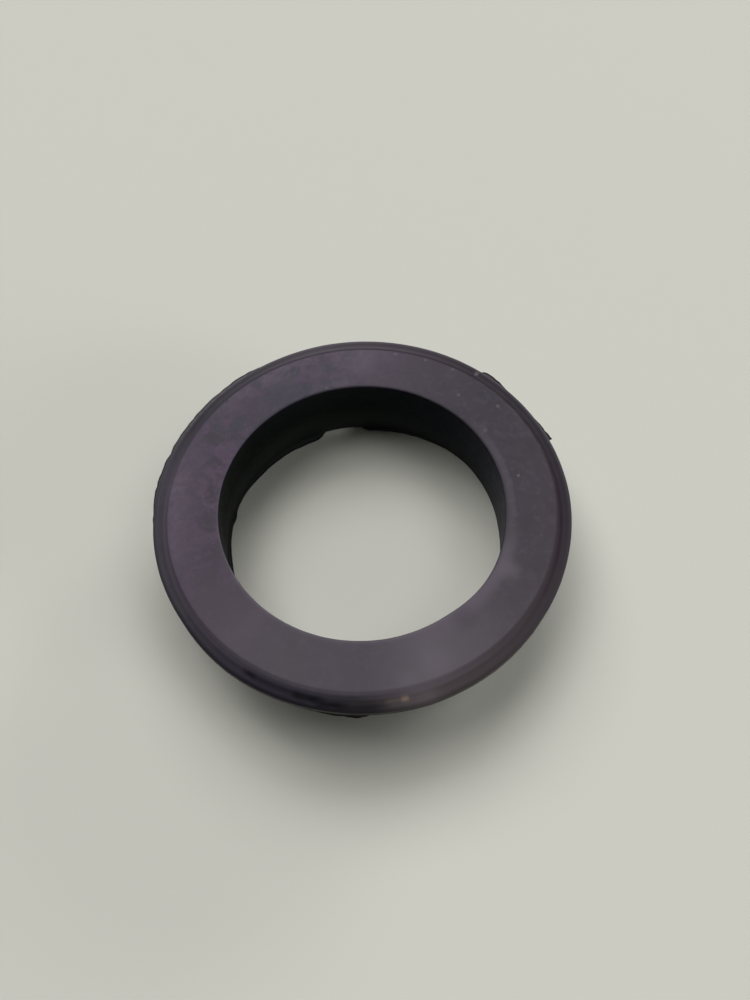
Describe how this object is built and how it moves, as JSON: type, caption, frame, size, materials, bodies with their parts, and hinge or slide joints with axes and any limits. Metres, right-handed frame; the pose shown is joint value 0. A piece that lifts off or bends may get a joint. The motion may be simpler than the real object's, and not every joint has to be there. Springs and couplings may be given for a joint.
{
  "type": "bump stop",
  "caption": "Black rubber bump stop ring: a flat-faced flange with a sloping shoulder on a short locating sleeve, its moulding flash left on the rim and round the foot of the bore.",
  "frame": {"origin": "on the ring's axis, at the foot of the sleeve", "axes": "+Z along the axis, from the foot of the sleeve to the bump face; +Y towards the torn notch in the foot"},
  "size_m": [0.0513, 0.0512, 0.0106],
  "materials": {
    "rubber": "matt moulded"
  },
  "bodies": {
    "root": {"bump_stop_ring": "rubber"}
  },
  "joints": []
}
